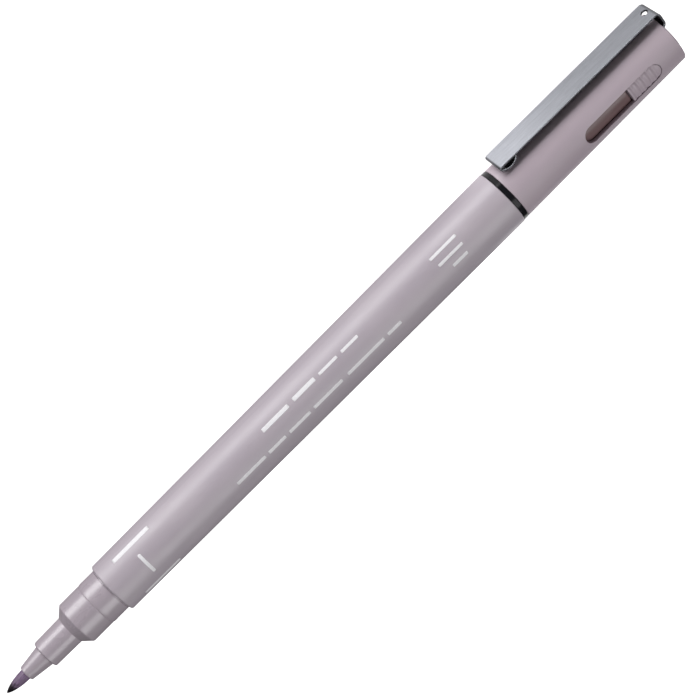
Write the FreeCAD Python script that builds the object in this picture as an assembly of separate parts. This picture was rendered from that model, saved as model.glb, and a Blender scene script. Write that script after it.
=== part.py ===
"""Brush-tipped calligraphy marker with its cap posted on the tail.

The pen lies along X with the nib towards -X, the cap's window on top (+Z) and the pocket clip at its
side (+Y). The origin is on the surface that the pen lies on, under the middle of its bounding box. The
pieces are drawn with the clip uppermost, and save() lays each of them on its side. A station is a
distance along the pen from the tip of the nib, and a height or radius is measured from the pen's axis,
in millimetres.
"""
import FreeCAD, Part
import math
import os
from FreeCAD import Vector

# ---- driving dimensions -----------------------------------------------------------------------------
# Lengths of the parts that follow each other along the pen
NIB_SHOWS = 4.6
CONE_LENGTH = 4.5
NECK_LENGTH = 6.0
SHOULDER_LENGTH = 1.6
SEAT_LENGTH = 8.3
BARREL_LENGTH = 93.7
FLANGE_LENGTH = 1.0
CAP_LENGTH = 38.1

# Outside radii
NIB_R = 1.06
CONE_FRONT_R = 1.45
CONE_BACK_R = 2.05
NECK_FRONT_R = 2.66
NECK_BACK_R = 2.76
SEAT_R = 4.25
SEAT_BACK_R = 4.31
BARREL_FRONT_R = 4.96
BARREL_BACK_R = 5.42
FLANGE_R = 5.34
CAP_MOUTH_R = 5.30
CAP_END_R = 5.15
CROWN_R = 4.0

# Fits
GLUED_GAP = 0.02
RUNNING_GAP = 0.05

# Front section
CREASE_FROM_SEAT = 4.45
CREASE_DEPTH = 0.06
CREASE_WIDTH = 0.16
BEAD_HEIGHT = 0.09
RELIEF_LENGTH = 0.22
RELIEF_DEPTH = 0.12
SPIGOT_LENGTH = 9.0
SPIGOT_BORE_R = 2.6
HOLDER_BORE_R = 1.97
HOLDER_STOP = 1.5
VENT_WIDTH = 0.7
VENT_DEPTH = 0.35

# Barrel and tail plug
BARREL_BORE_R = 4.15
BORE_RIBS = 4
RIB_WIDTH = 0.6
RIB_HEIGHT = 0.18
TAIL_SPIGOT_LENGTH = 7.5
POST_LENGTH = 8.8
POST_R = 4.28
POST_BEAD = 3.2
PLUG_BORE_R = 3.1
WEB_THICKNESS = 1.8

# Nib and reservoir
NIB_LENGTH = 42.0
NIB_BITE = 6.6
CORE_R = 3.75
CORE_END_GAP = 1.2
FILM_THICKNESS = 0.12

# Cap
CAP_BORE_R = 4.40
WINDOW_START = 15.4
WINDOW_LENGTH = 17.8
WINDOW_WIDTH = 3.3
INNER_CAP_START = 10.1
INNER_CAP_R = 4.25
INNER_CAP_LAND = 3.2
SEAL_R = 2.80
SEAL_LENGTH = 6.4
NIB_ROOM_R = 1.9
CROWN_HEIGHT = 0.3
CROWN_THICKNESS = 1.5
TONGUE_LENGTH = 7.0
TONGUE_GAP = 0.12
FINGER_RIBS = 5
RIB_PITCH = 1.22
RIB_LAND = 0.34
RIB_CREST_R = 5.09
RIB_VALLEY_R = 4.86

# Clip: one bent strip. Its heights are those of its outer face.
CLIP_WIDTH = 5.0
SHEET = 0.40
CLIP_EDGE_R = 0.08
HEIGHT_AT_NOSE = 7.05
HEIGHT_AT_BEND = 6.72
HEIGHT_OF_ROOT = 3.20
ROOT_LENGTH = 6.5
LOWER_BEND_R = 1.1
UPPER_BEND_R = 1.0
OVERHANG = 0.95
HOLE_R = 0.7
HOLE_FROM_END = 1.45
NOSE_R = 0.55
FOOT_R = 2.4
FOOT_FROM_MOUTH = 3.25
FOOT_SWEEP = 50.0
FOOT_GAP = 0.03
SPLIT_GAP = 0.06

# ---- stations ---------------------------------------------------------------------------------------
CONE = NIB_SHOWS
NECK = CONE + CONE_LENGTH
SHOULDER = NECK + NECK_LENGTH
SEAT = SHOULDER + SHOULDER_LENGTH
BARREL = SEAT + SEAT_LENGTH
FLANGE = BARREL + BARREL_LENGTH
CAP = FLANGE + FLANGE_LENGTH
CAP_END = CAP + CAP_LENGTH
PEN_END = CAP_END + OVERHANG
SPIGOT_END = BARREL + SPIGOT_LENGTH
PLUG_START = FLANGE - TAIL_SPIGOT_LENGTH
POST_END = CAP + POST_LENGTH
CORE_START = NIB_LENGTH - NIB_BITE
CORE_END = PLUG_START - CORE_END_GAP
WINDOW_END = CAP + WINDOW_START + WINDOW_LENGTH
TONGUE = WINDOW_END - TONGUE_LENGTH

AXIS_Z = BARREL_BACK_R
SIDE_SHIFT = (HEIGHT_AT_NOSE - BARREL_BACK_R) / 2
ALONG = Vector(1, 0, 0)


# ---- shared helpers ---------------------------------------------------------------------------------
def point(station, height, across=0.0):
    """A point of the drawing, from a station, a height above the axis and a place across the pen."""
    return Vector(station - PEN_END / 2, across, AXIS_Z + height)


def line(start, end):
    return Part.LineSegment(start, end).toShape()


def arc(centre, radius, start_deg, end_deg):
    """An arc in the pen's upright middle plane, about a (station, height) centre."""
    angles = (start_deg, (start_deg + end_deg) / 2, end_deg)
    spots = [(radius * math.cos(math.radians(a)), radius * math.sin(math.radians(a))) for a in angles]
    return Part.Arc(*[point(centre[0] + x, centre[1] + z) for x, z in spots]).toShape()


def outline(corners):
    """The edges of a closed outline through (station, height) corners. A corner that has a third value
    is rounded with an arc that takes that length off each of the two sides."""
    count = len(corners)
    spots = [point(*corner[:2]) for corner in corners]
    legs = []
    for k, corner in enumerate(corners):
        cut = corner[2] if len(corner) > 2 else 0.0
        before = (spots[k - 1] - spots[k]).normalize()
        after = (spots[(k + 1) % count] - spots[k]).normalize()
        half = before.getAngle(after) / 2
        reach = cut * (1 / math.cos(half) - math.tan(half))
        middle = spots[k] + (before + after).normalize() * reach if cut else spots[k]
        legs.append((spots[k] + before * cut, middle, spots[k] + after * cut))
    edges = []
    for k, (start, middle, end) in enumerate(legs):
        if (start - end).Length > 1e-6:
            edges.append(Part.Arc(start, middle, end).toShape())
        following = legs[(k + 1) % count][0]
        if (end - following).Length > 1e-6:
            edges.append(line(end, following))
    return edges


def turned(edges):
    """The solid that a closed outline sweeps in a full turn about the pen's axis."""
    return Part.Face(Part.Wire(edges)).revolve(point(0, 0), ALONG, 360)


def rod(start, end, radius):
    return Part.makeCylinder(radius, end - start, point(start, 0), ALONG)


def block(start, end, width, low, high):
    """A box between two stations and two heights, centred across the pen."""
    return Part.makeBox(end - start, width, high - low, point(start, low, -width / 2))


def spun(shape, degrees):
    """A copy of a shape, turned about the pen's axis."""
    copy = shape.copy()
    copy.rotate(point(0, 0), ALONG, degrees)
    return copy


def save(name, shape):
    """Checks that a sub-part is one valid solid, lays it on its side and writes its STEP file."""
    if len(shape.Solids) != 1 or not shape.isValid():
        raise RuntimeError(f"{name}: {len(shape.Solids)} solids, valid: {shape.isValid()}")
    solid = shape.Solids[0].copy()
    solid.rotate(Vector(0, 0, AXIS_Z), Vector(1, 0, 0), -90)
    solid.translate(Vector(0, -SIDE_SHIFT, 0))
    solid.exportStep(f"parts/{name}.step")
    print(f"{name:16s} {shape.Volume:9.2f} mm3")


# ---- barrel -----------------------------------------------------------------------------------------
def barrel():
    """A slightly tapered tube with rounded ends, and low ribs in its bore that hold the reservoir."""
    tube = turned(outline([
        (BARREL, BARREL_BORE_R),
        (BARREL, BARREL_FRONT_R, 0.38),
        (FLANGE, BARREL_BACK_R, 0.12),
        (FLANGE, BARREL_BORE_R),
    ]))
    low = BARREL_BORE_R - RIB_HEIGHT
    rib = block(SPIGOT_END + 1, PLUG_START - 1, RIB_WIDTH, low, BARREL_BORE_R + RIB_HEIGHT)
    for k in range(BORE_RIBS):
        tube = tube.fuse(spun(rib, 45 + k * 360 / BORE_RIBS))
    return tube.removeSplitter()


# ---- front section, nib holder and nib --------------------------------------------------------------
def front_section():
    """The stepped nose: neck, shoulder and cap seat with its snap bead, then the spigot that is glued
    in the barrel, with two vent grooves along it."""
    crease = SEAT + CREASE_FROM_SEAT
    bead = crease + CREASE_WIDTH / 2
    relief = BARREL - RELIEF_LENGTH
    spigot_r = BARREL_BORE_R - GLUED_GAP
    body = turned(outline([
        (NECK, HOLDER_BORE_R),
        (NECK, NECK_FRONT_R, 0.28),
        (SHOULDER, NECK_BACK_R),
        (SEAT, SEAT_R, 0.14),
        (crease - CREASE_WIDTH / 2, SEAT_R),
        (crease, SEAT_R - CREASE_DEPTH),
        (bead, SEAT_R),
        (bead + 0.45, SEAT_R + BEAD_HEIGHT, 0.3),
        (bead + 1.0, SEAT_BACK_R, 0.3),
        (relief, SEAT_BACK_R, 0.05),
        (relief, SEAT_BACK_R - RELIEF_DEPTH),
        (BARREL - GLUED_GAP, SEAT_BACK_R - RELIEF_DEPTH),
        (BARREL - GLUED_GAP, spigot_r),
        (SPIGOT_END - 0.6, spigot_r),
        (SPIGOT_END, spigot_r - 0.4),
        (SPIGOT_END, SPIGOT_BORE_R),
        (SEAT + HOLDER_STOP, SPIGOT_BORE_R),
        (SEAT + HOLDER_STOP, HOLDER_BORE_R),
    ]))
    vent = block(BARREL + 0.6, SPIGOT_END + 1, VENT_WIDTH, spigot_r - VENT_DEPTH, spigot_r + 1)
    for angle in (0, 180):
        body = body.cut(spun(vent, angle))
    return body


def nib_holder():
    """The cone, its tail inside the neck, and the flange that keeps it from coming out forwards."""
    bore = NIB_R + GLUED_GAP
    tail = HOLDER_BORE_R - GLUED_GAP
    stop = SEAT + HOLDER_STOP + GLUED_GAP
    return turned(outline([
        (CONE, bore),
        (CONE, CONE_FRONT_R, 0.14),
        (NECK - GLUED_GAP, CONE_BACK_R),
        (NECK - GLUED_GAP, tail),
        (stop, tail),
        (stop, SPIGOT_BORE_R - 0.1),
        (stop + 1.6, SPIGOT_BORE_R - 0.1),
        (stop + 1.6, bore),
    ]))


def brush_nib():
    """A fibre rod drawn to a point at the front, and cut to a blunt point at its tail."""
    tip = Part.BSplineCurve()
    profile = [(0, 0), (0.16, 0.17), (1.2, 0.62), (2.4, 0.87), (CONE, NIB_R)]
    tip.interpolate([point(*spot) for spot in profile])
    tail = [
        point(CONE, NIB_R),
        point(NIB_LENGTH - 1.2, NIB_R),
        point(NIB_LENGTH, NIB_R / 3),
        point(NIB_LENGTH, 0),
        point(0, 0),
    ]
    return turned([tip.toShape()] + [line(a, b) for a, b in zip(tail, tail[1:])])


# ---- reservoir --------------------------------------------------------------------------------------
def reservoir_core():
    """A rod of bonded fibre, with the hole that the nib's tail makes in its front end."""
    hole = rod(CORE_START - 1, NIB_LENGTH + 0.3, NIB_R + GLUED_GAP)
    return rod(CORE_START, CORE_END, CORE_R).cut(hole)


def reservoir_film():
    """The plastic skin around the fibre rod, open at both ends."""
    inside = CORE_R + GLUED_GAP
    skin = rod(CORE_START, CORE_END, inside + FILM_THICKNESS)
    return skin.cut(rod(CORE_START - 1, CORE_END + 1, inside))


# ---- tail plug --------------------------------------------------------------------------------------
def tail_plug():
    """Spigot, flange and post in one black moulding, cored out from both ends. The flange is the ring
    that shows between the barrel and the cap, and the post is what the cap is pushed onto."""
    fit = BARREL_BORE_R - GLUED_GAP
    bead = CAP + POST_BEAD
    body = turned(outline([
        (PLUG_START, PLUG_BORE_R),
        (PLUG_START, fit, 0.4),
        (FLANGE + GLUED_GAP, fit),
        (FLANGE + GLUED_GAP, FLANGE_R, 0.08),
        (CAP, FLANGE_R, 0.08),
        (CAP, POST_R),
        (bead - 0.6, POST_R),
        (bead, CAP_BORE_R - RUNNING_GAP, 0.3),
        (bead + 0.6, POST_R),
        (POST_END, POST_R, 0.7),
        (POST_END, PLUG_BORE_R),
    ]))
    web = rod(FLANGE - WEB_THICKNESS / 2, FLANGE + WEB_THICKNESS / 2, PLUG_BORE_R + 0.2)
    return body.fuse(web).removeSplitter()


# ---- cap --------------------------------------------------------------------------------------------
def slot_prism(start, end, width, near, far):
    """A block with round ends on the pen's -Y side, between two distances out from the axis."""
    half = width / 2
    front = point(start + half, 0, -near)
    back = point(end - half, 0, -near)
    up = Vector(0, 0, half)
    out = Vector(half, 0, 0)
    edges = [
        line(front - up, back - up),
        Part.Arc(back - up, back + out, back + up).toShape(),
        line(back + up, front + up),
        Part.Arc(front + up, front - out, front - up).toShape(),
    ]
    return Part.Face(Part.Wire(edges)).extrude(Vector(0, near - far, 0))


def cap_shell():
    """A thin, slightly tapered tube, open at both ends, with the window in its -Y side."""
    tube = turned(outline([
        (CAP + RUNNING_GAP, CAP_BORE_R, 0.1),
        (CAP + RUNNING_GAP, CAP_MOUTH_R, 0.18),
        (CAP_END, CAP_END_R, 0.25),
        (CAP_END, CAP_BORE_R),
    ]))
    return tube.cut(slot_prism(WINDOW_END - WINDOW_LENGTH, WINDOW_END, WINDOW_WIDTH, 2.0, 7.0))


def inner_cap():
    """The cup that seals round the neck when the cap is on the nib. Its wall is the window's floor."""
    mouth = CAP + INNER_CAP_START
    closed = TONGUE - 0.15
    land = CAP_BORE_R - GLUED_GAP
    return turned(outline([
        (mouth, SEAL_R + 0.4),
        (mouth, land, 0.3),
        (mouth + INNER_CAP_LAND, land),
        (mouth + INNER_CAP_LAND + 0.3, INNER_CAP_R),
        (closed, INNER_CAP_R, 0.2),
        (closed, 0),
        (closed - 0.9, 0),
        (closed - 0.9, NIB_ROOM_R, 0.4),
        (mouth + SEAL_LENGTH + 0.7, NIB_ROOM_R + 0.4),
        (mouth + SEAL_LENGTH, SEAL_R),
        (mouth + 0.5, SEAL_R),
    ]))


def finger_ribs(end):
    """A disc with round hollows turned in its rim, which leave narrow ribs between them."""
    rim = [(TONGUE, 0), (TONGUE, RIB_CREST_R, 0.08)]
    for k in range(FINGER_RIBS):
        hollow = TONGUE + RIB_LAND + k * RIB_PITCH
        width = RIB_PITCH - RIB_LAND
        rim.append((hollow, RIB_CREST_R, 0.1))
        rim.append((hollow + width / 2, RIB_VALLEY_R, width / 4))
        rim.append((hollow + width, RIB_CREST_R, 0.1))
    return turned(outline(rim + [(end, RIB_CREST_R), (end, 0)]))


def cap_end_plug():
    """Closes the cap's end. The crown stands a little proud of the shell, a slot takes the clip's root,
    and a ribbed tongue springs out into the end of the window, where it locks the plug in the shell."""
    fit = CAP_BORE_R - GLUED_GAP
    front = TONGUE + 0.9
    crown = CAP_END + CROWN_HEIGHT
    body = turned(outline([
        (front, PLUG_BORE_R),
        (front, fit, 0.2),
        (CAP_END, fit),
        (CAP_END, CROWN_R),
        (crown, CROWN_R, 0.14),
        (crown, 0),
        (crown - CROWN_THICKNESS, 0),
        (crown - CROWN_THICKNESS, PLUG_BORE_R, 0.3),
    ]))
    end = WINDOW_END - TONGUE_GAP
    width = WINDOW_WIDTH - 2 * TONGUE_GAP
    tongue = slot_prism(TONGUE - 2 * WINDOW_WIDTH, end, width, PLUG_BORE_R - 0.1, 7.0)
    body = body.fuse(tongue.common(finger_ribs(end + 0.5)))
    low = HEIGHT_OF_ROOT - GLUED_GAP
    high = HEIGHT_OF_ROOT + SHEET + GLUED_GAP
    root_slot = block(CAP_END - ROOT_LENGTH - 0.1, CAP_END, CLIP_WIDTH + 0.06, low, high)
    crown_notch = block(CAP_END, PEN_END, 2 * CROWN_R, low, CROWN_R + 1)
    return body.cut(root_slot).cut(crown_notch)


# ---- clip -------------------------------------------------------------------------------------------
BAND = PEN_END - SHEET
ROOT_TOP = HEIGHT_OF_ROOT + SHEET
SPLIT_HEIGHT = HEIGHT_OF_ROOT + LOWER_BEND_R


def strip(edges):
    """A length of the clip: the path of its inner face, thickened outwards, spread to the clip's width
    and rounded along its long edges."""
    face = Part.Wire(edges).makeOffset2D(-SHEET, 0, True, True)
    solid = face.extrude(Vector(0, CLIP_WIDTH, 0))
    solid.translate(Vector(0, -CLIP_WIDTH / 2, 0))
    flat = [edge for edge in solid.Edges if edge.BoundBox.YLength < 1e-4]
    return solid.makeFillet(CLIP_EDGE_R, [edge for edge in flat if abs(edge.Length - SHEET) > 1e-4])


def clip_root():
    """The end of the strip that the end plug holds, and the lower bend that brings it out of the cap."""
    radius = LOWER_BEND_R - SHEET
    centre = (BAND - radius, SPLIT_HEIGHT)
    start = point(CAP_END - ROOT_LENGTH, ROOT_TOP)
    return strip([line(start, point(centre[0], ROOT_TOP)), arc(centre, radius, -90, 0)])


def clip_arm():
    """The part that springs: up from the split, over the holed bend, along the cap, and round the nose
    to the foot that rests on the cap."""
    bend_r = UPPER_BEND_R - SHEET
    nose_r = NOSE_R - SHEET
    bend = (BAND - bend_r, HEIGHT_AT_BEND - UPPER_BEND_R)
    foot = (CAP + FOOT_FROM_MOUTH, CAP_MOUTH_R + FOOT_GAP + FOOT_R)
    nose_height = HEIGHT_AT_NOSE - NOSE_R
    apart = FOOT_R - NOSE_R
    turn = math.degrees(math.asin((foot[1] - nose_height) / apart))
    nose = (foot[0] - apart * math.cos(math.radians(turn)), nose_height)
    span = math.dist(bend, nose)
    lift = math.degrees(math.asin((nose[1] - bend[1]) / span) + math.asin((nose_r - bend_r) / span))
    over = arc(bend, bend_r, 0, 90 - lift)
    round_nose = arc(nose, nose_r, 90 - lift, 180 + turn)
    under = arc(foot, FOOT_R - SHEET, 180 + turn, 270 + FOOT_SWEEP)
    upright = line(point(BAND, SPLIT_HEIGHT + SPLIT_GAP), over.valueAt(over.FirstParameter))
    blade = line(over.valueAt(over.LastParameter), round_nose.valueAt(round_nose.FirstParameter))
    arm = strip([upright, over, blade, round_nose, under])
    return arm.cut(Part.makeCylinder(HOLE_R, 3.0, point(PEN_END - HOLE_FROM_END, HEIGHT_AT_BEND - 2)))


# ---- build ------------------------------------------------------------------------------------------
PARTS = {
    "barrel": barrel,
    "front_section": front_section,
    "nib_holder": nib_holder,
    "brush_nib": brush_nib,
    "reservoir_core": reservoir_core,
    "reservoir_film": reservoir_film,
    "tail_plug": tail_plug,
    "cap_shell": cap_shell,
    "inner_cap": inner_cap,
    "cap_end_plug": cap_end_plug,
    "clip_root": clip_root,
    "clip_arm": clip_arm,
}

os.makedirs("parts", exist_ok=True)
for name, make in PARTS.items():
    save(name, make())
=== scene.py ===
"""Looks for a brush-tipped calligraphy marker that lies on a pale surface, with its cap on its tail.

Everything is in metres, in the frame of the model: the pen lies along X with its nib towards -X, the
cap's window is on top, and the pocket clip is at the side, towards +Y.
"""
import math

import bpy
import numpy as np
from bpy.props import FloatProperty, FloatVectorProperty, IntProperty, PointerProperty
from mathutils import Matrix, Vector


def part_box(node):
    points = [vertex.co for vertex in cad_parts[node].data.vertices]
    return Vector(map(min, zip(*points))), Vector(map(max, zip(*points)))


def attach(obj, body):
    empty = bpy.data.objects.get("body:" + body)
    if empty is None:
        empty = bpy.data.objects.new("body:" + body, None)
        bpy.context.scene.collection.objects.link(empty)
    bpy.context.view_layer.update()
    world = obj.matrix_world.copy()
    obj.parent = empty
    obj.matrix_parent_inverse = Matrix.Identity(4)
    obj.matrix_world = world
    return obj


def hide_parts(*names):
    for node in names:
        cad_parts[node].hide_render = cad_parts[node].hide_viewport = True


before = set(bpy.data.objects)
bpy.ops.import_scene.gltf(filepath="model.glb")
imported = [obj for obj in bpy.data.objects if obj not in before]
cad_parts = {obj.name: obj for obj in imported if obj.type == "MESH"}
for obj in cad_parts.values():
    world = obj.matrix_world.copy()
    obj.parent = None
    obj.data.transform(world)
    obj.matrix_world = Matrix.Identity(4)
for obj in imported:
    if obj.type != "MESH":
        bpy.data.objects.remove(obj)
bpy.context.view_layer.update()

bl_info = {
    "name": "Calligraphy marker looks",
    "version": (1, 0, 0),
    "blender": (4, 5, 0),
    "location": "3D View > Sidebar > Marker",
    "description": "Finishes, nib, printing and stage for a brush-tipped calligraphy marker",
    "category": "Object",
}

MM = 0.001

# Brush nib: how full its front is, and how far the added surface stays inside the model's
NIB_FULLNESS = 0.68
NIB_UNDERSIZE = 0.995
NIB_TIP_RADIUS = 0.02 * MM
NIB_COLUMNS = 208
STRAND_TWIST = 1.2
STRAND_WANDER = 1.3

# Printed marks: radius of their corners
PRINT_CORNER = 0.12 * MM

# Lights: distance from the pen, length and height of the panel, and angle round the pen's axis
KEY_PANEL = (0.55, (0.75, 0.35))
TOP_PANEL = (0.60, (0.70, 0.30))
BACK_PANEL = (0.60, (0.70, 0.07))
TOP_ANGLE = math.radians(99.0)
BACK_ANGLE = math.radians(117.0)

# Floor: half its width, the radius where it starts to fall, how fast it falls, and its grid
FLOOR_HALF = 1.6
FLOOR_FLAT = 1.3
FLOOR_FALL = 0.02
FLOOR_GRID = 33


# ---- places taken from the model ---------------------------------------------------------------------
def vertices_of(node):
    """All corner points of a piece of the model, as an array of rows (x, y, z)."""
    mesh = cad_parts[node].data
    spots = np.empty(len(mesh.vertices) * 3)
    mesh.vertices.foreach_get("co", spots)
    return spots.reshape(-1, 3)


def axis_of_pen():
    """The pen's axis: the height and side position of the middle of the black ring."""
    low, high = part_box("tail_plug")
    return (low[1] + high[1]) / 2, (low[2] + high[2]) / 2


AXIS_Y, AXIS_Z = axis_of_pen()


def outer_radius(node, x, reach):
    """The largest distance from the pen's axis among a piece's points within reach of x."""
    spots = vertices_of(node)
    near = spots[np.abs(spots[:, 0] - x) < reach]
    return float(np.hypot(near[:, 1] - AXIS_Y, near[:, 2] - AXIS_Z).max())


# ---- sizes and colours that a user may change --------------------------------------------------------
def colour(name, description, value):
    """A colour property with its default in linear light."""
    return FloatVectorProperty(
        name=name, description=description, default=value, subtype="COLOR", size=3, min=0.0, max=1.0)


def length(name, description, value):
    """A length property in metres."""
    return FloatProperty(
        name=name, description=description, default=value, min=0.0, unit="LENGTH", precision=6)


class MarkerColours(bpy.types.PropertyGroup):
    """Colours of the pen's finishes."""
    barrel: colour("Barrel", "Satin lilac grey plastic of the barrel", (0.507, 0.452, 0.500))
    section: colour("Front section", "Polished lilac grey plastic of the nose", (0.462, 0.404, 0.450))
    cap: colour("Cap", "Matt lilac grey plastic of the cap", (0.520, 0.438, 0.490))
    # Partly painted shade: the inner cap's brown is set darker to stand for the shade in the recess behind
    # the window
    inner_cap: colour("Inner cap", "Dark brown plastic seen through the window", (0.200, 0.128, 0.130))
    ring: colour("Ring", "Glossy black plastic of the tail plug", (0.008, 0.008, 0.010))
    steel: colour("Clip", "Rolled spring steel", (0.388, 0.397, 0.432))
    printing: colour("Printing", "Screen-printed white ink", (0.930, 0.915, 0.945))
    ink_dark: colour("Nib point", "Fibre soaked with black ink", (0.0060, 0.0035, 0.0070))
    ink_pale: colour("Nib base", "Fibre where the ink has thinned", (0.190, 0.125, 0.215))


class MarkerSizes(bpy.types.PropertyGroup):
    """Sizes of the added detail."""
    nib_strands: IntProperty(
        name="Nib strands", description="Ridges of bonded fibre round the nib", default=26, min=6, max=60)
    strand_depth: length("Strand depth", "Depth of the grooves between the nib's strands", 0.018 * MM)
    print_height: length("Ink height", "How far the printed ink stands on the barrel", 0.012 * MM)
    cap_grain: length("Cap grain", "Size of the cap's spark-eroded grain", 0.16 * MM)
    barrel_grain: length("Barrel grain", "Size of the barrel's fine grain", 0.10 * MM)


class MarkerStage(bpy.types.PropertyGroup):
    """The camera and the lights."""
    elevation: FloatProperty(
        name="Camera height", description="Angle of the camera above the floor",
        default=math.radians(50.0), subtype="ANGLE", unit="ROTATION")
    roll: FloatProperty(
        name="Camera roll", description="Angle of the pen in the picture, nib at the lower left",
        default=math.radians(45.0), subtype="ANGLE", unit="ROTATION")
    distance: length("Camera distance", "From the camera to the pen's axis", 0.416)
    foot: FloatProperty(
        name="Camera place", description="Place along the pen that the camera stands over",
        default=-0.006955, unit="LENGTH", precision=6)
    aim_along: FloatProperty(
        name="Aim along", description="Slope of the camera's aim along the pen", default=0.02167,
        precision=5)
    aim_across: FloatProperty(
        name="Aim across", description="Slope of the camera's aim across the pen", default=-0.00147,
        precision=5)
    lens: FloatProperty(
        name="Lens", description="Focal length of the camera in millimetres", default=126.0, min=20.0)
    key_power: FloatProperty(
        name="Key light", description="Power of the low softbox on the clip's side", default=3.95,
        unit="POWER")
    key_angle: FloatProperty(
        name="Key angle", description="Height of the key light above the floor, as an angle",
        default=math.radians(-10.0), subtype="ANGLE", unit="ROTATION")
    top_power: FloatProperty(
        name="Top light", description="Power of the softbox overhead", default=1.75, unit="POWER")
    back_power: FloatProperty(
        name="Back light", description="Power of the softbox behind the pen", default=0.40, unit="POWER")
    surround: FloatProperty(
        name="Surround", description="Brightness of the dim room", default=0.05, min=0.0)
    floor_glow: FloatProperty(
        name="Floor glow", description="Brightness of the floor in reflections", default=0.30, min=0.0)


# ---- meshes ------------------------------------------------------------------------------------------
def mesh_piece(name, spots, faces):
    """A new smooth object at the origin, from an array of points and a list of arrays of faces."""
    mesh = bpy.data.meshes.new(name)
    mesh.from_pydata(spots.tolist(), [], [face for block in faces for face in block.tolist()])
    mesh.polygons.foreach_set("use_smooth", np.full(len(mesh.polygons), True))
    mesh.validate()
    mesh.update()
    piece = bpy.data.objects.new(name, mesh)
    bpy.context.scene.collection.objects.link(piece)
    return piece


def turned_grid(stations, radii, angles):
    """A closed surface round the pen's axis. A point at station x and angle a lies at the radius that
    the grid gives: y is the axis plus radius times the cosine of a, and z is the axis plus radius times
    the sine of a. Each row of the grid is a ring, and a single point on the axis closes each end."""
    rows, columns = radii.shape
    x = np.repeat(stations[:, None], columns, axis=1)
    y = AXIS_Y + radii * np.cos(angles)[None, :]
    z = AXIS_Z + radii * np.sin(angles)[None, :]
    spots = np.stack([x, y, z], axis=-1).reshape(-1, 3)
    ends = np.array([[stations[0], AXIS_Y, AXIS_Z], [stations[-1], AXIS_Y, AXIS_Z]])
    spots = np.vstack([spots, ends])
    row = np.arange(rows - 1)[:, None]
    column = np.arange(columns)[None, :]
    following = (column + 1) % columns
    here = row * columns + column
    beside = row * columns + following
    quads = np.stack([here, here + columns, beside + columns, beside], axis=-1).reshape(-1, 4)
    first = rows * columns
    ring = np.arange(columns)
    around = (ring + 1) % columns
    last = (rows - 1) * columns
    front = np.stack([np.full(columns, first), ring, around], axis=-1)
    back = np.stack([np.full(columns, first + 1), last + around, last + ring], axis=-1)
    return spots, [quads, front, back]


def pad_on_tube(ends, sides, radius_at, height, corner, columns=24, rows=24):
    """A thin closed pad that follows a tube. Along the pen it runs between two stations, and round the
    pen between two angles. Near the two sides, within the corner radius, the ends draw in along a
    quarter circle. The top is the tube's radius plus the height, and the bottom is as far below it."""
    across = np.linspace(-1.0, 1.0, rows)
    along = np.linspace(0.0, 1.0, columns)
    width = (sides[1] - sides[0]) * radius_at(ends[0])
    share = min(1.0, 2.0 * corner / width)
    over = np.clip((np.abs(across) - (1.0 - share)) / share, 0.0, 1.0)
    draw = corner * (1.0 - np.sqrt(1.0 - over ** 2))
    start = (ends[0] + draw)[:, None]
    finish = (ends[1] - draw)[:, None]
    x = start + (finish - start) * along[None, :]
    angle = ((sides[0] + sides[1]) / 2 + across * (sides[1] - sides[0]) / 2)[:, None]
    layers = []
    for lift in (height, -height):
        reach = radius_at(x) + lift
        y = AXIS_Y + reach * np.cos(angle)
        z = AXIS_Z + reach * np.sin(angle)
        layers.append(np.stack([x, y, z], axis=-1).reshape(-1, 3))
    count = rows * columns
    grid = np.arange(count).reshape(rows, columns)
    top = np.stack([grid[:-1, :-1], grid[:-1, 1:], grid[1:, 1:], grid[1:, :-1]], axis=-1).reshape(-1, 4)
    bottom = top[:, ::-1] + count
    rim = np.concatenate([grid[0, :], grid[1:, -1], grid[-1, -2::-1], grid[-2:0:-1, 0]])
    after = np.roll(rim, -1)
    wall = np.stack([rim, rim + count, after + count, after], axis=-1)
    return np.vstack(layers), [top, bottom, wall]


def joined(parts):
    """Several point and face sets put together as one."""
    spots = []
    faces = []
    shift = 0
    for part_spots, part_faces in parts:
        spots.append(part_spots)
        faces.extend(block + shift for block in part_faces)
        shift += len(part_spots)
    return np.vstack(spots), faces


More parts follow.
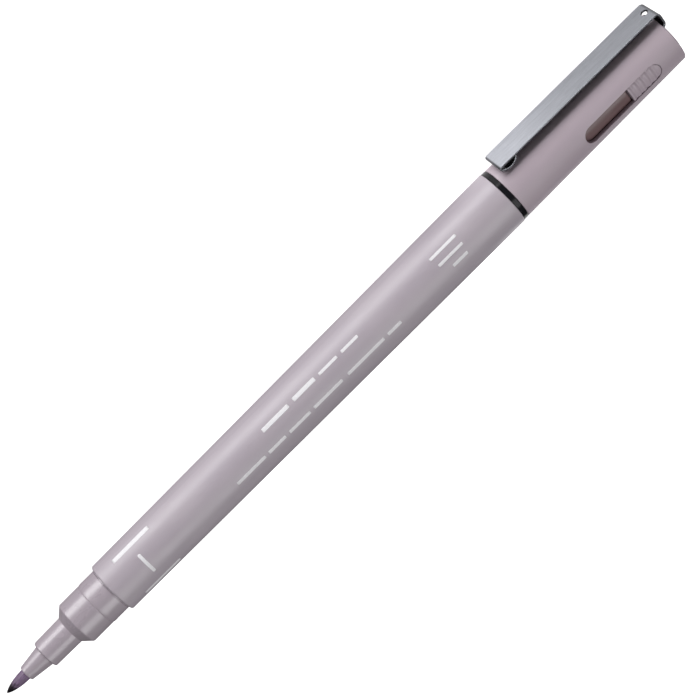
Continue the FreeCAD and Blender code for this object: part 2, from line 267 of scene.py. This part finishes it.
# ---- materials ---------------------------------------------------------------------------------------
class Bench:
    """Lays nodes out in a tree, one column after another, and joins them."""

    def __init__(self, tree):
        self.tree = tree
        self.count = 0

    def add(self, kind, **settings):
        """A new node with some of its settings."""
        node = self.tree.nodes.new(kind)
        node.location = (220 * (self.count % 6), -260 * (self.count // 6))
        self.count += 1
        for name, value in settings.items():
            setattr(node, name, value)
        return node

    def join(self, source, target):
        """A link from one socket to another."""
        self.tree.links.new(source, target)

    def maths(self, operation, first, second=None, third=None):
        """The result of a Math node. A number is set, and a socket is joined."""
        node = self.add("ShaderNodeMath", operation=operation)
        for place, value in enumerate((first, second, third)):
            if value is None:
                continue
            if isinstance(value, (int, float)):
                node.inputs[place].default_value = value
            else:
                self.join(value, node.inputs[place])
        return node.outputs[0]

    def spread(self, value, low, high, new_low=0.0, new_high=1.0):
        """A value mapped smoothly from one range to another and held there."""
        node = self.add("ShaderNodeMapRange", interpolation_type="SMOOTHSTEP")
        self.join(value, node.inputs["Value"])
        node.inputs["From Min"].default_value = low
        node.inputs["From Max"].default_value = high
        node.inputs["To Min"].default_value = new_low
        node.inputs["To Max"].default_value = new_high
        return node.outputs[0]

    def scaled(self, vector, size):
        """A vector times a number, or times a triple of numbers."""
        node = self.add("ShaderNodeVectorMath", operation="MULTIPLY")
        self.join(vector, node.inputs[0])
        if isinstance(size, tuple):
            node.inputs[1].default_value = size
        else:
            self.join(size, node.inputs[1])
        return node.outputs[0]

    def noise(self, vector, scale=1.0, detail=2.0, roughness=0.5):
        """The grey value of a noise texture."""
        node = self.add("ShaderNodeTexNoise")
        self.join(vector, node.inputs["Vector"])
        node.inputs["Scale"].default_value = scale
        node.inputs["Detail"].default_value = detail
        node.inputs["Roughness"].default_value = roughness
        return node.outputs[0]

    def blend(self, factor, first, second):
        """A mix of two colours. A triple is set, and a socket is joined."""
        node = self.add("ShaderNodeMix", data_type="RGBA")
        self.join(factor, node.inputs[0])
        for place, value in ((6, first), (7, second)):
            if isinstance(value, tuple):
                node.inputs[place].default_value = value
            else:
                self.join(value, node.inputs[place])
        return node.outputs[2]


def new_group(name, sockets_in, sockets_out):
    """An empty node group with named sockets, and the bench to fill it."""
    group = bpy.data.node_groups.new(name, "ShaderNodeTree")
    for label, kind, value in sockets_in:
        socket = group.interface.new_socket(name=label, in_out="INPUT", socket_type=kind)
        if value is not None:
            socket.default_value = value
    for label, kind in sockets_out:
        group.interface.new_socket(name=label, in_out="OUTPUT", socket_type=kind)
    bench = Bench(group)
    return group, bench, bench.add("NodeGroupInput"), bench.add("NodeGroupOutput")


def kept_group(name, build):
    """The node group of that name, built the first time it is wanted."""
    return bpy.data.node_groups.get(name) or build(name)


def build_moulded_grain(name):
    """Fine pits and bumps of a moulded surface, and slow changes of tone from the melt's flow."""
    group, bench, inlet, outlet = new_group(
        name,
        [("Vector", "NodeSocketVector", None), ("Grain Size", "NodeSocketFloat", 0.0002)],
        [("Height", "NodeSocketFloat"), ("Tone", "NodeSocketFloat")])
    fine = bench.maths("DIVIDE", 1.0, inlet.outputs["Grain Size"])
    place = bench.scaled(inlet.outputs["Vector"], fine)
    pits = bench.noise(place, 1.0, 3.0, 0.6)
    cells = bench.add("ShaderNodeTexVoronoi")
    bench.join(place, cells.inputs["Vector"])
    cells.inputs["Scale"].default_value = 0.7
    height = bench.maths("ADD", bench.maths("MULTIPLY", pits, 0.65),
                         bench.maths("MULTIPLY", cells.outputs["Distance"], 0.35))
    bench.join(height, outlet.inputs["Height"])
    flow = bench.noise(bench.scaled(inlet.outputs["Vector"], (60.0, 240.0, 240.0)), 1.0, 2.0)
    bench.join(bench.spread(flow, 0.3, 0.7), outlet.inputs["Tone"])
    return group


def build_handling(name):
    """Marks of use: soft smudges of skin grease, and hairline scratches along and across the pen."""
    group, bench, inlet, outlet = new_group(
        name,
        [("Vector", "NodeSocketVector", None)],
        [("Smudge", "NodeSocketFloat"), ("Scratch", "NodeSocketFloat")])
    place = inlet.outputs["Vector"]
    smudge = bench.noise(bench.scaled(place, (130.0, 210.0, 210.0)), 1.0, 4.0, 0.55)
    bench.join(bench.spread(smudge, 0.42, 0.66), outlet.inputs["Smudge"])
    long_ones = bench.noise(bench.scaled(place, (140.0, 7000.0, 7000.0)), 1.0, 1.0)
    cross_ones = bench.noise(bench.scaled(place, (8000.0, 380.0, 380.0)), 1.0, 1.0)
    long_mask = bench.spread(long_ones, 0.70, 0.78)
    cross_mask = bench.spread(cross_ones, 0.73, 0.80)
    bench.join(bench.maths("MAXIMUM", long_mask, cross_mask), outlet.inputs["Scratch"])
    return group


def build_rolled_grain(name):
    """The grain that rolling leaves in a steel strip: streaks many times longer than they are wide."""
    group, bench, inlet, outlet = new_group(
        name,
        [("Vector", "NodeSocketVector", None)],
        [("Streak", "NodeSocketFloat"), ("Height", "NodeSocketFloat")])
    place = inlet.outputs["Vector"]
    broad = bench.noise(bench.scaled(place, (160.0, 2400.0, 2400.0)), 1.0, 3.0, 0.6)
    fine = bench.noise(bench.scaled(place, (500.0, 14000.0, 14000.0)), 1.0, 2.0, 0.6)
    both = bench.maths("ADD", bench.maths("MULTIPLY", broad, 0.55), bench.maths("MULTIPLY", fine, 0.45))
    bench.join(bench.spread(both, 0.32, 0.68), outlet.inputs["Streak"])
    bench.join(fine, outlet.inputs["Height"])
    return group


def build_fibre_strands(name):
    """Bonded fibre: fine strands that run along the pen."""
    group, bench, inlet, outlet = new_group(
        name,
        [("Vector", "NodeSocketVector", None), ("Strand Size", "NodeSocketFloat", 0.00012)],
        [("Strand", "NodeSocketFloat")])
    fine = bench.maths("DIVIDE", 1.0, inlet.outputs["Strand Size"])
    narrow = bench.scaled(bench.scaled(inlet.outputs["Vector"], (0.05, 1.0, 1.0)), fine)
    bench.join(bench.spread(bench.noise(narrow, 1.0, 3.0, 0.6), 0.3, 0.7), outlet.inputs["Strand"])
    return group


def build_edge_finder(name):
    """One on a corner and none on a flat: how far a rounded normal leans from the real one."""
    group, bench, inlet, outlet = new_group(
        name,
        [("Rounding", "NodeSocketFloat", 0.0001)],
        [("Edge", "NodeSocketFloat")])
    rounded = bench.add("ShaderNodeBevel", samples=4)
    bench.join(inlet.outputs["Rounding"], rounded.inputs["Radius"])
    plain = bench.add("ShaderNodeNewGeometry")
    meet = bench.add("ShaderNodeVectorMath", operation="DOT_PRODUCT")
    bench.join(rounded.outputs[0], meet.inputs[0])
    bench.join(plain.outputs["Normal"], meet.inputs[1])
    lean = bench.maths("SUBTRACT", 1.0, meet.outputs["Value"])
    bench.join(bench.spread(lean, 0.02, 0.25), outlet.inputs["Edge"])
    return group


def build_dust(name):
    """Sparse specks of dust, a few hundredths of a millimetre to a tenth across."""
    group, bench, inlet, outlet = new_group(
        name,
        [("Vector", "NodeSocketVector", None)],
        [("Speck", "NodeSocketFloat")])
    cells = bench.add("ShaderNodeTexVoronoi")
    bench.join(inlet.outputs["Vector"], cells.inputs["Vector"])
    cells.inputs["Scale"].default_value = 900.0
    chosen = bench.noise(inlet.outputs["Vector"], 420.0, 1.0)
    near = bench.spread(cells.outputs["Distance"], 0.05, 0.11, 1.0, 0.0)
    bench.join(bench.maths("MULTIPLY", near, bench.spread(chosen, 0.60, 0.66)), outlet.inputs["Speck"])
    return group


GROUPS = {
    "Moulded grain": build_moulded_grain,
    "Handling marks": build_handling,
    "Rolled grain": build_rolled_grain,
    "Fibre strands": build_fibre_strands,
    "Edge finder": build_edge_finder,
    "Dust specks": build_dust,
}


class Finish(Bench):
    """A material under construction: a Principled shader, the object's own coordinates and a bump."""

    def __init__(self, name, roughness, **constants):
        self.material = bpy.data.materials.new(name)
        self.material.use_nodes = True
        super().__init__(self.material.node_tree)
        self.tree.nodes.clear()
        self.shader = self.add("ShaderNodeBsdfPrincipled")
        self.shader.inputs["Roughness"].default_value = roughness
        for label, value in constants.items():
            self.shader.inputs[label.replace("_", " ")].default_value = value
        self.sheet = self.add("ShaderNodeOutputMaterial")
        self.join(self.shader.outputs[0], self.sheet.inputs[0])
        self.place = self.add("ShaderNodeTexCoord").outputs["Object"]

    def group(self, name, **values):
        """A shared effect placed in this material with its own values."""
        node = self.add("ShaderNodeGroup")
        node.node_tree = kept_group(name, GROUPS[name])
        if "Vector" in node.inputs:
            self.join(self.place, node.inputs["Vector"])
        for label, value in values.items():
            node.inputs[label.replace("_", " ")].default_value = value
        return node.outputs

    def colour(self, socket):
        """Joins the base colour."""
        self.join(socket, self.shader.inputs["Base Color"])

    def rough(self, base, *parts):
        """Roughness: a base value plus each mask times its weight."""
        total = base
        for mask, weight in parts:
            total = self.maths("MULTIPLY_ADD", mask, weight, total)
        self.join(total, self.shader.inputs["Roughness"])

    def bump(self, height, depth):
        """A bump that rises with the height, to a depth in metres."""
        node = self.add("ShaderNodeBump")
        node.inputs["Strength"].default_value = 1.0
        node.inputs["Distance"].default_value = depth
        self.join(height, node.inputs["Height"])
        self.join(node.outputs[0], self.shader.inputs["Normal"])


def shade(tint, amount, lean=(1.0, 1.0, 1.0)):
    """A colour made lighter or darker, as the four numbers that a socket takes."""
    return tuple(min(1.0, part * amount * side) for part, side in zip(tint, lean)) + (1.0,)


def moulded_plastic(name, tint, grain_size, grain_depth, base_rough, gloss_marks, **constants):
    """Moulded plastic: grain, slow flow tone, smudges that change the gloss, hairlines and dust."""
    made = Finish(name, base_rough, **constants)
    grain = made.group("Moulded grain", Grain_Size=grain_size)
    marks = made.group("Handling marks")
    specks = made.group("Dust specks")
    edge = made.group("Edge finder", Rounding=0.00012)
    toned = made.blend(grain["Tone"], shade(tint, 0.965, (1.0, 0.995, 1.01)), shade(tint, 1.03))
    # Brighter edges: partly wear, partly a painted highlight where the edges catch the light
    rubbed_and_highlit = made.blend(made.maths("MULTIPLY", edge["Edge"], 0.35), toned, shade(tint, 1.16))
    scored = made.blend(made.maths("MULTIPLY", marks["Scratch"], 0.10), rubbed_and_highlit, shade(tint, 1.25))
    dusted = made.blend(made.maths("MULTIPLY", specks["Speck"], 0.20), scored, shade(tint, 1.4))
    made.colour(dusted)
    made.rough(base_rough, (marks["Smudge"], -gloss_marks), (grain["Tone"], gloss_marks * 0.5),
               (marks["Scratch"], 0.08), (specks["Speck"], 0.2))
    made.bump(grain["Height"], grain_depth)
    return made.material


def spring_steel(name, tint):
    """Satin rolled steel: long streaks of grain, brighter edges that are partly worn and partly a painted
    highlight, and a few greasy smudges. The bends get a painted dark reflection, and the face that is
    turned to the cap a
    painted shade: both are coloured darker than the strip's outer face."""
    made = Finish(name, 0.2, Metallic=1.0)
    grain = made.group("Rolled grain")
    marks = made.group("Handling marks")
    edge = made.group("Edge finder", Rounding=0.00006)
    streaked = made.blend(grain["Streak"], shade(tint, 0.90), shade(tint, 1.07))
    # Brighter edges: partly wear, partly a painted highlight where the edges catch the light
    rubbed_and_highlit = made.blend(made.maths("MULTIPLY", edge["Edge"], 0.4), streaked, shade(tint, 1.35))
    # Painted shade on the face turned to the cap and a painted dark reflection on the bends: both darken
    # the steel's colour
    facing = made.add("ShaderNodeSeparateXYZ")
    made.join(made.add("ShaderNodeTexCoord").outputs["Normal"], facing.inputs[0])
    inside = made.spread(facing.outputs[1], -0.3, -0.8)
    bends = made.spread(made.maths("ABSOLUTE", facing.outputs[0]), 0.12, 0.75, 0.0, 0.85)
    painted_shade_and_reflection = made.maths("MAXIMUM", inside, bends)
    made.colour(made.blend(painted_shade_and_reflection, rubbed_and_highlit, shade(tint, 0.16)))
    made.rough(0.17, (grain["Streak"], 0.06), (marks["Smudge"], 0.04), (marks["Scratch"], 0.06))
    made.bump(grain["Height"], 0.0000022)
    return made.material


def black_ring(name, tint):
    """Glossy black moulding with faint dust and smudges."""
    made = Finish(name, 0.2, Specular_IOR_Level=0.18)
    grain = made.group("Moulded grain", Grain_Size=0.0003)
    marks = made.group("Handling marks")
    specks = made.group("Dust specks")
    toned = made.blend(grain["Tone"], shade(tint, 0.8), shade(tint, 1.6))
    made.colour(made.blend(made.maths("MULTIPLY", specks["Speck"], 0.3), toned, (0.1, 0.1, 0.1, 1.0)))
    made.rough(0.15, (marks["Smudge"], 0.06), (specks["Speck"], 0.3), (marks["Scratch"], 0.1))
    made.bump(grain["Height"], 0.000002)
    return made.material


def inked_fibre(name, dark, pale, start, finish):
    """Fibre soaked with ink: black at the point, then thinning to purple grey, streaked by strands."""
    made = Finish(name, 0.45)
    strands = made.group("Fibre strands", Strand_Size=0.00010)
    split = made.add("ShaderNodeSeparateXYZ")
    made.join(made.place, split.inputs[0])
    wobble = made.maths("MULTIPLY_ADD", strands["Strand"], 0.0009, split.outputs[0])
    thinned = made.spread(wobble, start + 0.0004, finish + 0.0004)
    streaked = made.blend(strands["Strand"], shade(pale, 0.60), shade(pale, 1.40))
    made.colour(made.blend(thinned, shade(dark, 1.0), streaked))
    made.rough(0.28, (strands["Strand"], 0.20), (thinned, 0.04))
    made.bump(strands["Strand"], 0.000012)
    return made.material


def dry_fibre(name, tint):
    """The reservoir: a rod of crimped fibre, unevenly soaked."""
    made = Finish(name, 0.8)
    strands = made.group("Fibre strands", Strand_Size=0.0002)
    patches = made.group("Moulded grain", Grain_Size=0.0006)
    wet = made.blend(patches["Tone"], shade(tint, 0.5), shade(tint, 1.1))
    made.colour(made.blend(strands["Strand"], wet, shade(tint, 1.5)))
    made.rough(0.75, (strands["Strand"], 0.2))
    made.bump(strands["Strand"], 0.00004)
    return made.material


def thin_film(name):
    """The clear plastic skin that is wrapped round the reservoir, with fine creases."""
    made = Finish(name, 0.25)
    grain = made.group("Moulded grain", Grain_Size=0.0009)
    marks = made.group("Handling marks")
    made.colour(made.blend(grain["Tone"], (0.62, 0.62, 0.64, 1.0), (0.78, 0.78, 0.80, 1.0)))
    made.rough(0.2, (marks["Smudge"], 0.15), (grain["Tone"], 0.05))
    made.bump(grain["Height"], 0.00002)
    return made.material


def screen_ink(name, tint):
    """Screen-printed ink: a faint mesh, with thin places where the plastic shows a little."""
    made = Finish(name, 0.5)
    grain = made.group("Moulded grain", Grain_Size=0.00014)
    made.colour(made.blend(made.spread(grain["Height"], 0.25, 0.6), shade(tint, 0.90), shade(tint, 1.04)))
    made.rough(0.45, (grain["Tone"], 0.12))
    made.bump(grain["Height"], 0.000003)
    return made.material


def dress(node, material):
    """Gives a piece of the model its finish."""
    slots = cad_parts[node].data.materials
    slots.clear()
    slots.append(material)


# ---- operators ---------------------------------------------------------------------------------------
class MARKER_OT_barrel(bpy.types.Operator):
    """Gives the barrel its satin plastic"""
    bl_idname = "marker.barrel"
    bl_label = "Barrel"

    def execute(self, context):
        """Dresses the barrel."""
        tints = context.scene.marker_colours
        sizes = context.scene.marker_sizes
        dress("barrel", moulded_plastic(
            "satin barrel plastic", tuple(tints.barrel), sizes.barrel_grain, 0.000004, 0.40, 0.07,
            Specular_IOR_Level=0.6))
        return {"FINISHED"}


class MARKER_OT_front(bpy.types.Operator):
    """Gives the front section and the nib's holder their polished plastic"""
    bl_idname = "marker.front"
    bl_label = "Front section and nib holder"

    def execute(self, context):
        """Dresses the nose."""
        tint = tuple(context.scene.marker_colours.section)
        polished = moulded_plastic("polished nose plastic", tint, 0.0005, 0.0000022, 0.30, 0.04,
            Specular_IOR_Level=0.9)
        dress("front_section", polished)
        dress("nib_holder", polished)
        return {"FINISHED"}


class MARKER_OT_cap(bpy.types.Operator):
    """Gives the cap, its end plug with the ribbed tongue, and the inner cap their plastics"""
    bl_idname = "marker.cap"
    bl_label = "Cap pieces"

    def execute(self, context):
        """Dresses the cap's three mouldings."""
        tints = context.scene.marker_colours
        sizes = context.scene.marker_sizes
        matt = moulded_plastic("matt cap plastic", tuple(tints.cap), sizes.cap_grain, 0.000009, 0.50, 0.06)
        dress("cap_shell", matt)
        dress("cap_end_plug", matt)
        # The inner cap's dark brown is partly painted shade for the recess behind the window
        dress("inner_cap", moulded_plastic(
            "inner cap plastic with painted recess shade", tuple(tints.inner_cap), 0.0004, 0.000003, 0.33, 0.08))
        return {"FINISHED"}


class MARKER_OT_ring(bpy.types.Operator):
    """Gives the tail plug, whose flange is the ring behind the barrel, its glossy black"""
    bl_idname = "marker.ring"
    bl_label = "Black ring"

    def execute(self, context):
        """Dresses the tail plug."""
        dress("tail_plug", black_ring("glossy black plastic", tuple(context.scene.marker_colours.ring)))
        return {"FINISHED"}


class MARKER_OT_clip(bpy.types.Operator):
    """Gives the pocket clip its rolled steel"""
    bl_idname = "marker.clip"
    bl_label = "Pocket clip"

    def execute(self, context):
        """Dresses the clip's arm and root."""
        steel = spring_steel("satin spring steel", tuple(context.scene.marker_colours.steel))
        dress("clip_arm", steel)
        dress("clip_root", steel)
        return {"FINISHED"}


class MARKER_OT_reservoir(bpy.types.Operator):
    """Gives the ink reservoir inside the barrel its fibre and film"""
    bl_idname = "marker.reservoir"
    bl_label = "Ink reservoir"

    def execute(self, context):
        """Dresses the two hidden pieces."""
        dress("reservoir_core", dry_fibre("ink reservoir fibre", (0.16, 0.13, 0.15)))
        dress("reservoir_film", thin_film("reservoir film"))
        return {"FINISHED"}


class MARKER_OT_nib(bpy.types.Operator):
    """Makes the brush nib, with the strands of its bonded fibre"""
    bl_idname = "marker.nib"
    bl_label = "Brush nib"

    def execute(self, context):
        """A turned surface. In the tapered front its radius is the full radius times (1 - (1 - u)
        squared) to the power 0.68, where u runs from 0 at the tip to 1 at the holder; behind that it is
        a rod whose tail narrows to a third. A cosine in the angle, turned slowly along the nib, takes
        the grooves between strands out of it, and a second sine makes them wander."""
        sizes = context.scene.marker_sizes
        tints = context.scene.marker_colours
        low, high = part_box("brush_nib")
        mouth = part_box("nib_holder")[0][0]
        full = (high[2] - low[2]) / 2
        taper = mouth - low[0]
        u = np.linspace(0.0, 1.0, 90) ** 1.7
        front = low[0] + taper * u
        rod = np.linspace(mouth + 0.0004, high[0] - 0.0012, 40)
        tail = np.linspace(high[0] - 0.0010, high[0], 6)
        stations = np.concatenate([front[1:], rod, tail])
        shown = full * (1.0 - (1.0 - u[1:]) ** 2) ** NIB_FULLNESS
        behind = np.full(len(rod), full)
        cut = full * np.linspace(0.85, 1 / 3, len(tail))
        radius = np.concatenate([shown, behind, cut]) * NIB_UNDERSIZE
        angles = np.linspace(0.0, 2 * np.pi, NIB_COLUMNS, endpoint=False)
        behind_tip = (stations - low[0])[:, None]
        wander = STRAND_WANDER * np.sin(angles[None, :] * 3.0 + behind_tip * 240.0)
        turned = sizes.nib_strands * (angles[None, :] + behind_tip * STRAND_TWIST)
        wave = 0.5 + 0.5 * np.cos(turned + wander)
        fade = np.clip(radius / full, 0.0, 1.0)[:, None]
        grid = radius[:, None] - sizes.strand_depth * wave * fade
        stations = np.concatenate([[low[0]], stations, [high[0]]])
        grid = np.vstack([np.full((1, NIB_COLUMNS), NIB_TIP_RADIUS), grid, grid[-1:] * 0.999])
        piece = mesh_piece("brush_nib_fibre", *turned_grid(stations, grid, angles))
        piece.data.materials.append(inked_fibre(
            "inked nib fibre", tuple(tints.ink_dark), tuple(tints.ink_pale),
            low[0] + 0.0013, low[0] + 0.0027))
        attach(piece, "pen")
        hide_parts("brush_nib")
        return {"FINISHED"}


# Printed marks: a name, then start and end in millimetres from the barrel's front edge, then the angles
# in degrees of their two sides, counted from the clip's side up over the window. They are plain bars.
PRINTED_BARS = (
    ("size_name_upper", 3.6, 11.9, 8.4, 18.2),
    ("size_name_lower", 3.7, 11.9, 113.0, 121.0),
    ("width_mark", 7.31, 7.91, 40.2, 87.9),
    ("title_wide", 36.9, 43.0, 37.1, 45.7),
    ("title_tall", 44.2, 49.3, 36.2, 44.8),
    ("title_slim_a", 50.3, 54.6, 38.1, 43.9),
    ("title_slim_b", 55.6, 59.5, 38.1, 43.9),
    ("note_1", 27.7, 34.3, 77.3, 83.8),
    ("note_2", 35.1, 39.1, 77.3, 83.8),
    ("note_3", 40.0, 44.9, 77.3, 83.8),
    ("note_4", 45.8, 52.5, 77.3, 83.8),
    ("note_5", 53.8, 62.4, 77.3, 83.8),
    ("note_6", 63.3, 66.4, 77.3, 83.8),
    ("reminder_1", 77.0, 83.1, 34.4, 40.0),
    ("reminder_2", 77.4, 83.0, 53.6, 59.2),
    ("reminder_3", 79.2, 82.6, 72.3, 78.3),
)


class MARKER_OT_printing(bpy.types.Operator):
    """Makes the white printed bars on the barrel"""
    bl_idname = "marker.printing"
    bl_label = "Printing"

    def execute(self, context):
        """Thin pads on the barrel, whose radius grows evenly from its front to its back."""
        low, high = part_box("barrel")
        ends = (low[0] + 0.001, high[0] - 0.001)
        radii = [outer_radius("barrel", x, 0.0012) for x in (low[0], high[0])]
        height = context.scene.marker_sizes.print_height

        def radius_at(x):
            """The barrel's radius at a station, on a straight line between its ends."""
            return radii[0] + (radii[1] - radii[0]) * (x - ends[0]) / (ends[1] - ends[0])

        pads = []
        for _, start, finish, side_a, side_b in PRINTED_BARS:
            span = (low[0] + start * MM, low[0] + finish * MM)
            sides = (math.radians(side_a), math.radians(side_b))
            pads.append(pad_on_tube(span, sides, radius_at, height, PRINT_CORNER))
        piece = mesh_piece("printed_bars", *joined(pads))
        tint = tuple(context.scene.marker_colours.printing)
        piece.data.materials.append(screen_ink("white screen ink", tint))
        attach(piece, "pen")
        return {"FINISHED"}


def softbox(name, angle, panel, power):
    """A rectangular soft light that faces the middle of the pen, with its long side along the pen. The
    angle is counted round the pen's axis, from the clip's side up over the window."""
    distance, size = panel
    data = bpy.data.lights.new(name, "AREA")
    data.shape = "RECTANGLE"
    data.size = size[0]
    data.size_y = size[1]
    data.energy = power
    lamp = bpy.data.objects.new(name, data)
    bpy.context.scene.collection.objects.link(lamp)
    back = Vector((0.0, math.cos(angle), math.sin(angle)))
    side = Vector((1.0, 0.0, 0.0))
    up = back.cross(side).normalized()
    turn = Matrix((side, up, back)).transposed().to_4x4()
    turn.translation = Vector((0.0, AXIS_Y, AXIS_Z)) + back * distance
    lamp.matrix_world = turn


class MARKER_OT_stage(bpy.types.Operator):
    """Makes the floor, the lights, the surround and the camera"""
    bl_idname = "marker.stage"
    bl_label = "Stage"

    def floor(self, setup):
        """A plain pale sheet that glows, like a light table. Only the camera and shiny surfaces see it:
        the low softbox shines up through it, so the pen throws no shadow."""
        grid = np.linspace(-1.0, 1.0, FLOOR_GRID)
        x, y = np.meshgrid(grid * FLOOR_HALF, grid * FLOOR_HALF, indexing="ij")
        far = np.clip(np.hypot(x, y) - FLOOR_FLAT, 0.0, None)
        spots = np.stack([x, y, -FLOOR_FALL * far ** 2], axis=-1).reshape(-1, 3)
        index = np.arange(FLOOR_GRID * FLOOR_GRID).reshape(FLOOR_GRID, FLOOR_GRID)
        faces = np.stack(
            [index[:-1, :-1], index[1:, :-1], index[1:, 1:], index[:-1, 1:]], axis=-1).reshape(-1, 4)
        sheet = mesh_piece("pale_floor", spots, [faces])
        made = Finish("pale floor", 0.7)
        grain = made.group("Moulded grain", Grain_Size=0.002)
        made.colour(made.blend(grain["Tone"], (0.86, 0.86, 0.86, 1.0), (0.88, 0.88, 0.88, 1.0)))
        made.shader.inputs["Emission Color"].default_value = (1.0, 1.0, 1.0, 1.0)
        made.shader.inputs["Specular IOR Level"].default_value = 0.0
        rays = made.add("ShaderNodeLightPath")
        split = made.add("ShaderNodeSeparateXYZ")
        made.join(made.place, split.inputs[0])
        # In reflections the glow starts at the clip's nose and fades in two steps towards its bend
        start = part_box("clip_arm")[0][0]
        rise = made.spread(split.outputs[0], start - 0.012, start - 0.001)
        near = made.spread(split.outputs[0], start + 0.002, start + 0.022, 1.6, 0.0)
        middle = made.spread(split.outputs[0], start + 0.019, start + 0.038, 0.4, 0.0)
        level = made.maths("ADD", made.maths("ADD", near, middle), 1.0)
        shone = made.maths("MULTIPLY", made.maths("MULTIPLY", level, rise), setup.floor_glow)
        glow = made.maths("MAXIMUM", rays.outputs["Is Camera Ray"], shone)
        made.join(glow, made.shader.inputs["Emission Strength"])
        gloss = made.maths("MULTIPLY", rays.outputs["Is Glossy Ray"], rise)
        above = made.maths(
            "SUBTRACT", 1.0, made.add("ShaderNodeNewGeometry").outputs["Backfacing"])
        watched = made.maths("MULTIPLY", rays.outputs["Is Camera Ray"], above)
        seen = made.maths("MAXIMUM", watched, gloss)
        clear = made.add("ShaderNodeBsdfTransparent")
        choice = made.add("ShaderNodeMixShader")
        made.join(seen, choice.inputs[0])
        made.join(clear.outputs[0], choice.inputs[1])
        made.join(made.shader.outputs[0], choice.inputs[2])
        made.join(choice.outputs[0], made.sheet.inputs[0])
        sheet.data.materials.append(made.material)

    def camera(self, setup):
        """Over the clip's side of the pen, turned so that the nib points to the lower left."""
        toward = Vector((0.0, math.cos(setup.elevation), math.sin(setup.elevation)))
        along = Vector((1.0, 0.0, 0.0))
        across = Vector((0.0, -math.sin(setup.elevation), math.cos(setup.elevation)))
        place = Vector((setup.foot, AXIS_Y, AXIS_Z)) + toward * setup.distance
        aim = (along * setup.aim_along + across * setup.aim_across - toward).normalized()
        top = along * math.sin(setup.roll) - across * math.cos(setup.roll)
        right = aim.cross(top).normalized()
        up = right.cross(aim)
        data = bpy.data.cameras.new("camera")
        data.lens = setup.lens
        data.sensor_width = 36.0
        data.clip_start = 0.01
        camera = bpy.data.objects.new("camera", data)
        bpy.context.scene.collection.objects.link(camera)
        turn = Matrix((right, up, -aim)).transposed().to_4x4()
        turn.translation = place
        camera.matrix_world = turn
        bpy.context.scene.camera = camera

    def execute(self, context):
        """Floor, camera, three softboxes, and a surround that looks white but gives little light."""
        setup = context.scene.marker_stage
        self.floor(setup)
        self.camera(setup)
        softbox("key_softbox", setup.key_angle, KEY_PANEL, setup.key_power)
        softbox("top_softbox", TOP_ANGLE, TOP_PANEL, setup.top_power)
        softbox("back_softbox", BACK_ANGLE, BACK_PANEL, setup.back_power)
        world = bpy.data.worlds.new("white room")
        world.use_nodes = True
        room = Bench(world.node_tree)
        air = world.node_tree.nodes["Background"]
        air.inputs["Color"].default_value = (1.0, 1.0, 1.0, 1.0)
        rays = room.add("ShaderNodeLightPath")
        level = room.maths(
            "MULTIPLY_ADD", rays.outputs["Is Camera Ray"], 1.0 - setup.surround, setup.surround)
        room.join(level, air.inputs["Strength"])
        context.scene.world = world
        context.scene.view_settings.view_transform = "Standard"
        return {"FINISHED"}


class MARKER_PT_sidebar(bpy.types.Panel):
    """Lists the marker's settings and its operators"""
    bl_idname = "MARKER_PT_sidebar"
    bl_label = "Calligraphy marker"
    bl_space_type = "VIEW_3D"
    bl_region_type = "UI"
    bl_category = "Marker"

    def draw(self, context):
        """Settings first, then one button for each group of pieces."""
        for settings in (context.scene.marker_sizes, context.scene.marker_colours,
                         context.scene.marker_stage):
            box = self.layout.box()
            for name in settings.__annotations__:
                box.prop(settings, name)
        for operator in OPERATORS:
            self.layout.operator(operator.bl_idname)


OPERATORS = (
    MARKER_OT_barrel,
    MARKER_OT_front,
    MARKER_OT_cap,
    MARKER_OT_ring,
    MARKER_OT_clip,
    MARKER_OT_reservoir,
    MARKER_OT_nib,
    MARKER_OT_printing,
    MARKER_OT_stage,
)
CLASSES = (MarkerColours, MarkerSizes, MarkerStage) + OPERATORS + (MARKER_PT_sidebar,)


def register():
    """Adds the classes, and the settings to the scene."""
    for one in CLASSES:
        bpy.utils.register_class(one)
    bpy.types.Scene.marker_colours = PointerProperty(type=MarkerColours)
    bpy.types.Scene.marker_sizes = PointerProperty(type=MarkerSizes)
    bpy.types.Scene.marker_stage = PointerProperty(type=MarkerStage)


def unregister():
    """Takes the settings and the classes away again."""
    del bpy.types.Scene.marker_stage
    del bpy.types.Scene.marker_sizes
    del bpy.types.Scene.marker_colours
    for one in reversed(CLASSES):
        bpy.utils.unregister_class(one)


def main():
    """Makes every piece in order."""
    register()
    bpy.ops.marker.barrel()
    bpy.ops.marker.front()
    bpy.ops.marker.cap()
    bpy.ops.marker.ring()
    bpy.ops.marker.clip()
    bpy.ops.marker.reservoir()
    bpy.ops.marker.nib()
    bpy.ops.marker.printing()
    bpy.ops.marker.stage()


if __name__ == "__main__":
    main()
